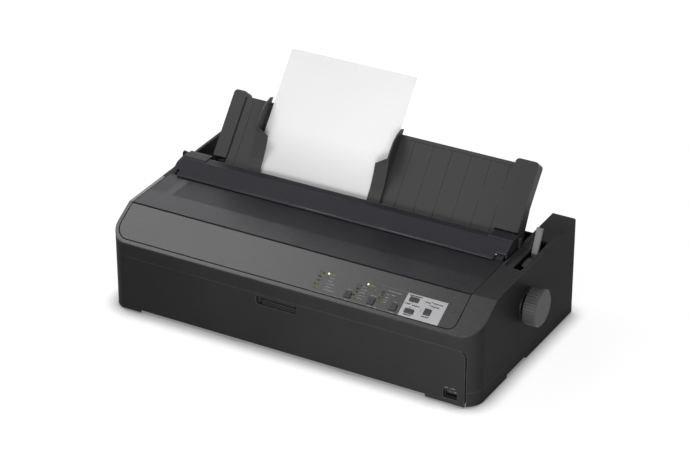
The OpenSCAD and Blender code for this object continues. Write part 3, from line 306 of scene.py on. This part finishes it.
FINISHES = {
    "case_plastic": CASE, "panel_plastic": PANEL, "plate_silver": SILVER,
    "light_pipe": LIGHT, "key_plastic": KEY, "tinted_cover": COVER,
    "guide_plastic": GUIDE, "paper": PAPER, "rubber": RUBBER, "steel": STEEL,
    "zinc_sheet": ZINC, "gear_plastic": GEAR, "brass": BRASS,
    "knob_plastic": KNOB, "lever_plastic": LEVER, "board": BOARD, "socket_black": SOCKET,
}
OWN_FINISH = {"eject_ridge": RIDGE, "left_sprocket": SPROCKET, "right_sprocket": SPROCKET,
              "cover_pins": KEY, "power_rocker": KEY}
for part in frame["record"]["subparts"]:
    mesh = nodes[part["node"]].data
    finish = OWN_FINISH.get(part["node"], FINISHES[part["material_slot"]])
    if not mesh.materials:
        mesh.materials.append(finish)
    for index in range(len(mesh.materials)):
        mesh.materials[index] = finish


# ------------------------------------------------------------------ pieces
def slab(bm, low, high, matrix):
    """A thin box, from corner to corner in millimetres."""
    corners = [Vector((x, y, z)) * MM for z in (low[2], high[2])
               for y in (low[1], high[1]) for x in (low[0], high[0])]
    made = [bm.verts.new(matrix @ corner) for corner in corners]
    for face in ((0, 2, 3, 1), (4, 5, 7, 6), (0, 1, 5, 4), (1, 3, 7, 5), (3, 2, 6, 7), (2, 0, 4, 6)):
        bm.faces.new([made[index] for index in face])


def turns(steps):
    """Angles of a whole turn, in even steps."""
    return [2 * math.pi * step / steps for step in range(steps)]


def close_rings(bm, lower, upper):
    """Faces between two closed rings of vertices."""
    for index in range(len(lower)):
        after = (index + 1) % len(lower)
        bm.faces.new((lower[index], lower[after], upper[after], upper[index]))


def cap(bm, first, last):
    """Faces that close both ends of a row of rings."""
    bm.faces.new(first)
    bm.faces.new(list(reversed(last)))


def lathe(bm, profile, matrix, steps=20):
    """A turned form: profile points are radius and height in millimetres."""
    rings = []
    for radius, height in profile:
        points = [Vector((radius * math.cos(turn), radius * math.sin(turn), height))
                  for turn in turns(steps)]
        rings.append([bm.verts.new(matrix @ (point * MM)) for point in points])
    for lower, upper in zip(rings, rings[1:]):
        close_rings(bm, lower, upper)
    cap(bm, rings[-1], rings[0])


def prism(bm, x0, x1, profile):
    """A bar from x0 to x1 whose profile is points (y, z)."""
    ends = [[bm.verts.new(place(x, y, z)) for y, z in profile] for x in (x0, x1)]
    close_rings(bm, *ends)
    cap(bm, *ends)


def finish_piece(name, bm, finish, body):
    """Turns the bmesh into a piece that rides on a body."""
    mesh = bpy.data.meshes.new(name)
    bmesh.ops.recalc_face_normals(bm, faces=bm.faces)
    bm.to_mesh(mesh)
    bm.free()
    mesh.materials.append(finish)
    piece = bpy.data.objects.new(name, mesh)
    scene.collection.objects.link(piece)
    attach(piece, body)
    return piece


def marks(name, boxes, matrix, finish, body, sink=0.03, rise=0.05):
    """Printed marks: flat boxes of x, y, width and height, centred, in millimetres."""
    bm = bmesh.new()
    for x, y, width, height in boxes:
        slab(bm, (x - width / 2, y - height / 2, -sink), (x + width / 2, y + height / 2, rise), matrix)
    return finish_piece(name, bm, finish, body)


def words(x0, x1, y, height=1.3):
    """A row of plain dashes, between x0 and x1, as one line of a legend."""
    boxes = []
    x = x0
    while x < x1 - 0.8:
        width = min(random.uniform(1.6, 3.4), x1 - x)
        boxes.append((x + width / 2, y, width, height * random.uniform(0.8, 1.0)))
        x += width + 0.5
    return boxes


# ------------------------------------------------- rim and seams of the case
CORNER_STEPS = 12
FACING_RISE = 0.05
SEAM_RISE = 0.08
SKIRT = 1.8
OVERHANG = 0.04
FOLD_SEAM = 2.2


def quarter(first):
    """Angles of a quarter turn that starts at first, in degrees."""
    return [math.radians(first + 90 / CORNER_STEPS * step) for step in range(CORNER_STEPS + 1)]


def corner(middle_x, middle_y, radius, first):
    """Plan of one rounded corner."""
    return [(middle_x + radius * math.cos(turn), middle_y + radius * math.sin(turn))
            for turn in quarter(first)]


def panel_edge(gap, deck_gap):
    """Plan of the sloped panel's outline, and of the cover's sides behind it."""
    left = corner(COVER_X[0] + PANEL_LEFT_CORNER,
                  PANEL_FRONT * math.cos(SLOPE) + PANEL_LEFT_CORNER,
                  PANEL_LEFT_CORNER - gap, 180)
    cut = PANEL_RIGHT_CORNER - gap
    right = [(COVER_X[1] - gap - cut + cut * math.cos(turn),
              (PANEL_FRONT + gap + cut + cut * math.sin(turn)) * math.cos(SLOPE))
             for turn in quarter(-90)]
    return ([(COVER_X[0] + deck_gap, DECK_END), (COVER_X[0] + deck_gap, FOLD)] + left + right
            + [(COVER_X[1] - deck_gap, FOLD), (COVER_X[1] - deck_gap, DECK_END)])


def ribbon(bm, *rows):
    """Faces between rows of points given as (x, y, z) in the case's frame."""
    made = [[bm.verts.new(place(*point)) for point in row] for row in rows]
    for left, right in zip(made, made[1:]):
        for index in range(len(left) - 1):
            bm.faces.new((left[index], left[index + 1], right[index + 1], right[index]))


def raised(points, rise):
    """Points on the case's top, lifted by rise."""
    return [(x, y, top_z(y) + rise) for x, y in points]


# The facing ends at the fold on the right, and on the left it runs back beside the cover.
side = HALF_WIDTH + OVERHANG
facing_end = FOLD + 0.1
inner = panel_edge(-0.3, -0.3)
inner[-1] = (COVER_X[1] + 0.3, facing_end)
outer = ([(-side, DECK_END), (-side, FOLD)]
         + corner(RIM_CORNER - HALF_WIDTH, RIM_CORNER, RIM_CORNER + OVERHANG, 180)
         + corner(HALF_WIDTH - RIM_CORNER, RIM_CORNER, RIM_CORNER + OVERHANG, 270)
         + [(side, FOLD), (side, facing_end)])
bm = bmesh.new()
ribbon(bm, raised(outer, -SKIRT), raised(outer, FACING_RISE), raised(inner, FACING_RISE))
finish_piece("rim_facing", bm, PANEL, "case")

bm = bmesh.new()
ribbon(bm, raised(panel_edge(-0.7, -0.7), SEAM_RISE), raised(panel_edge(0.9, 0.55), SEAM_RISE))
fold_rows = [[(x, y) for x in COVER_X]
             for y in (FOLD - FOLD_SEAM * math.cos(SLOPE), FOLD - 0.1)]
ribbon(bm, *(raised(row, SEAM_RISE) for row in fold_rows))
finish_piece("seams", bm, SEAM, "case")

# Rounded edges of the ridge: along its top, at the rear and at its lower lip.
BEAD_STEPS = 16
bm = bmesh.new()
for x0, x1, y, z, radius in ((-284, 262, 187.7, 169.6, 1.1), (-252.5, 227.9, 200.0, 170.75, 1.0),
                             (-278, 246, 160.9, 154.7, 0.7)):
    prism(bm, x0, x1, [(y + radius * math.cos(turn), z + radius * math.sin(turn))
                       for turn in turns(BEAD_STEPS)])
for face in bm.faces:
    face.smooth = len(face.verts) == 4
finish_piece("ridge_edges", bm, RIDGE_EDGE, "top_cover")

# -------------------------------------------------------------- printed marks
# Legend of the sloped panel: outline, dividers and rows of dashes.
outline = [(106, 46, 144, 0.5), (34, 27, 0.5, 38), (101, 27, 0.5, 38), (139, 27, 0.5, 38)]
marks("legend_lines", outline, slope_matrix, INK_LINE, "case")
ticks = [(106, 8, 144, 0.4), (95, 8.6, 6, 1), (133, 8.6, 6, 1), (168.5, 8.6, 6, 1)]
label_rows = [(55.5, 63, 41), (56, 66, 35.3), (56, 63, 30), (56, 68, 25), (56, 67, 20),
              (56, 72, 15), (90.5, 98, 25.5), (120, 128, 41), (109.5, 117, 36), (109.5, 120, 31),
              (109.5, 118, 26), (109.5, 120, 21), (109.5, 119, 16), (128, 136.5, 26), (129.5, 131, 36),
              (149, 171, 40.5), (149, 154, 34), (157, 163, 35), (149, 156, 29), (149, 155, 24.5),
              (149, 155, 20.5), (166, 170, 25.5)]
pale = list(ticks)
for row in label_rows:
    pale += words(*row)
marks("legend_words", pale, slope_matrix, INK_PALE, "case")

# Small squares in rows of three, some with a green middle.
dark_squares = []
green_squares = [(142.5, 8.6, 3, 1)]
for left, ups in ((39, (14, 20.5, 27, 33.5, 40)), (102.8, (14, 19.5, 25, 30.5, 36)),
                  (141.5, (20, 25.5, 31, 36))):
    for row, up in enumerate(ups):
        for column in range(3):
            x = left + column * 2.7
            dark_squares.append((x, up, 2.3, 2.2))
            if (row >> column) % 2 == 0:
                green_squares.append((x, up, 1.2, 1.0))
dark_squares += [(122 + column * 2.7, 36, 2.3, 2.2) for column in range(3)]
green_squares += [(122 + column * 2.7, 36, 1.2, 1.0) for column in range(3)]
marks("legend_squares", dark_squares, slope_matrix, INK_DARK, "case")
marks("legend_greens", green_squares, slope_matrix, INK_GREEN, "case", 0.02, 0.09)

# Dark dashes on the silver plate.
plate = []
for row in ((183, 203, 43.2), (181.5, 190, 29), (193, 205, 28), (186.5, 199, 11.2),
            (209.5, 218, 38.5), (222, 237, 39.5), (221, 233, 34.2), (213.5, 224.5, 15.2)):
    plate += words(*row, height=1.6)
plate += [(191.5, 31.5, 1.4, 1.4), (191.8, 23.6, 1.4, 1.4), (219.5, 40.5, 1.6, 1.6),
          (218.5, 35, 1.6, 1.6), (209, 23.5, 0.6, 4)]
marks("plate_words", plate, slope_matrix, INK_DARK, "case", -0.25, 0.45)

# The two lights that are lit.
lit_mat, lit_tree, lit_shader = new_material("light_lit")
glowing = spread(lit_tree, noise(lit_tree, 0.6), 0.9, 1.1)
lit_colour = tint(lit_tree, (0.90, 1.0, 0.45), glowing)
lit_tree.links.new(lit_colour, lit_shader.inputs["Base Color"])
lit_tree.links.new(lit_colour, lit_shader.inputs["Emission Color"])
lit_shader.inputs["Emission Strength"].default_value = 1.0
lit_shader.inputs["Roughness"].default_value = 0.3
bm = bmesh.new()
for x, up in ((52.2, 41.3), (116.5, 41.7)):
    lens = slope_matrix @ shift(x, up, 0)
    lathe(bm, [(1.3, 0.1), (1.3, 0.3), (1.1, 0.6), (0.6, 0.85), (0.2, 0.9)], lens)
finish_piece("lit_lights", bm, lit_mat, "case")

# Dashes over the power switch's recess.
front_matrix = Matrix.Translation(place(0, 0, 0)) @ Matrix.Rotation(math.pi / 2, 4, "X")
marks("switch_words", words(259, 266, 27.4, 0.9) + words(268, 277, 27.4, 0.9), front_matrix,
      INK_PALE, "front_cover")

# I and O on the rocker, which is a drum on an axis along X.
ROCKER_RADIUS = 8.6
O_MIDDLE = 3.9
rocker_matrix = (Matrix.Translation(place(268, 17, 16.5))
                 @ Matrix.Rotation(math.radians(-8), 4, "X")
                 @ shift(0, -ROCKER_RADIUS, 0) @ Matrix.Rotation(math.pi / 2, 4, "X"))
bm = bmesh.new()
slab(bm, (-4.6, -1.4, -0.25), (-3.9, 1.4, 0.04), rocker_matrix)
rings = [[bm.verts.new(rocker_matrix @ (Vector((O_MIDDLE + radius * math.cos(turn),
                                                radius * math.sin(turn), 0.04)) * MM))
          for turn in turns(24)] for radius in (1.0, 1.6)]
close_rings(bm, *rings)
finish_piece("rocker_marks", bm, INK_PALE, "power_rocker")

# The feet's fronts, which reach below the front cover and tilt with it.
bm = bmesh.new()
foot_profile = [(0.2, 6.8), (0.2, 2.6), (0.7, 1.8), (1.5, 1.5), (2.8, 1.5), (2.8, 6.8)]
for x0, x1 in ((-285.6, -253), (228, 290.1)):
    prism(bm, x0, x1, foot_profile)
finish_piece("foot_fronts", bm, CASE, "front_cover")

# ------------------------------------------------------------- rear screws
SCREW_PROFILE = [(3, 0), (3, 0.6), (3 * 0.86, 1.3), (3 * 0.5, 1.75)]
rear_matrix = Matrix.Translation(place(0, CASE_REAR, 0)) @ Matrix.Rotation(-math.pi / 2, 4, "X")
bm = bmesh.new()
cross = bmesh.new()
for x, z in ((-285, 60), (285, 60), (-120, 30), (60, 30), (238, 30)):
    head = rear_matrix @ shift(x, -z, -1.6)
    lathe(bm, SCREW_PROFILE, head)
    for turn in (0.4, 0.4 + math.pi / 2):
        slab(cross, (-1.5, -0.3, 1.5), (1.5, 0.3, 1.78), head @ Matrix.Rotation(turn, 4, "Z"))
finish_piece("rear_screws", bm, STEEL, "case")
finish_piece("rear_screw_crosses", cross, INK_DARK, "case")

# ------------------------------------------------------------ floor, light
def largest(tree, a, b):
    """The larger of two values."""
    node = add(tree, "ShaderNodeMath", operation="MAXIMUM")
    tree.links.new(a, node.inputs[0])
    tree.links.new(b, node.inputs[1])
    return node.outputs["Value"]


def seen_rays(tree):
    """The light path node, and 1 for camera and glossy rays."""
    rays = add(tree, "ShaderNodeLightPath")
    return rays, largest(tree, rays.outputs["Is Camera Ray"], rays.outputs["Is Glossy Ray"])


def floor_material():
    """White where it is open, grey close to the object, and pale for the light it throws."""
    mat, tree, shader = new_material("floor")
    tree.nodes.remove(shader)
    seen = seen_rays(tree)[1]
    diffuse = add(tree, "ShaderNodeBsdfDiffuse")
    shade = add(tree, "ShaderNodeCombineColor")
    for channel in ("Red", "Green", "Blue"):
        tree.links.new(spread(tree, seen, 0.6, 0.13, 0.0, 1.0), shade.inputs[channel])
    tree.links.new(shade.outputs["Color"], diffuse.inputs["Color"])
    near = add(tree, "ShaderNodeAmbientOcclusion", samples=16, Distance=0.03)
    open_sky = spread(tree, near.outputs["AO"], 0.2, 0.91, 0.45, 0.96)
    glow = add(tree, "ShaderNodeEmission")
    tree.links.new(times(tree, open_sky, seen), glow.inputs["Strength"])
    both = add(tree, "ShaderNodeAddShader")
    tree.links.new(diffuse.outputs["BSDF"], both.inputs[0])
    tree.links.new(glow.outputs["Emission"], both.inputs[1])
    tree.links.new(both.outputs["Shader"], tree.nodes["Material Output"].inputs["Surface"])
    return mat


bpy.ops.mesh.primitive_plane_add(size=12, location=(0, 0, -0.0005))
floor = bpy.context.object
floor.name = "floor"
floor.data.materials.append(floor_material())

world = bpy.data.worlds.new("studio")
scene.world = world
world.use_nodes = True
tree = world.node_tree
background = tree.nodes["Background"]
rays, seen = seen_rays(tree)
bare = largest(tree, seen, rays.outputs["Is Transmission Ray"])
tree.links.new(spread(tree, bare, 0.37, 1.0, 0.0, 1.0), background.inputs["Strength"])
background.inputs["Color"].default_value = (1, 1, 1, 1)


def lamp(name, size, power, at, look_at):
    """A soft lamp at a point, turned to another."""
    data = bpy.data.lights.new(name, "AREA")
    data.shape = "RECTANGLE"
    data.size, data.size_y = size
    data.energy = power
    lamp_object = bpy.data.objects.new(name, data)
    scene.collection.objects.link(lamp_object)
    lamp_object.location = at
    direction = Vector(look_at) - Vector(at)
    lamp_object.rotation_euler = direction.to_track_quat("-Z", "Y").to_euler()
    lamp_object.visible_camera = False


lamp("key", (1.1, 1.1), 27, (-1.40, -0.2, 2.1), (0, 0, 0.1))
lamp("front_fill", (0.5, 0.3), 6, (0.35, -0.75, 0.2), (0.1, -0.15, 0.08))
lamp("rear_left", (0.9, 0.9), 10, (-1.28, 1.5, 1.1), (0, 0, 0.12))

# ------------------------------------------------------------------ camera
camera_data = bpy.data.cameras.new("camera")
camera = bpy.data.objects.new("camera", camera_data)
scene.collection.objects.link(camera)
camera.location = (1.629, -2.895, 1.912)
camera.rotation_euler = (math.radians(90 - 28.15), 0, math.radians(29.5))
camera_data.sensor_width = 36
camera_data.lens = 133.04
camera_data.clip_start = 0.1
camera_data.clip_end = 50
scene.camera = camera
scene.view_settings.view_transform = "Standard"
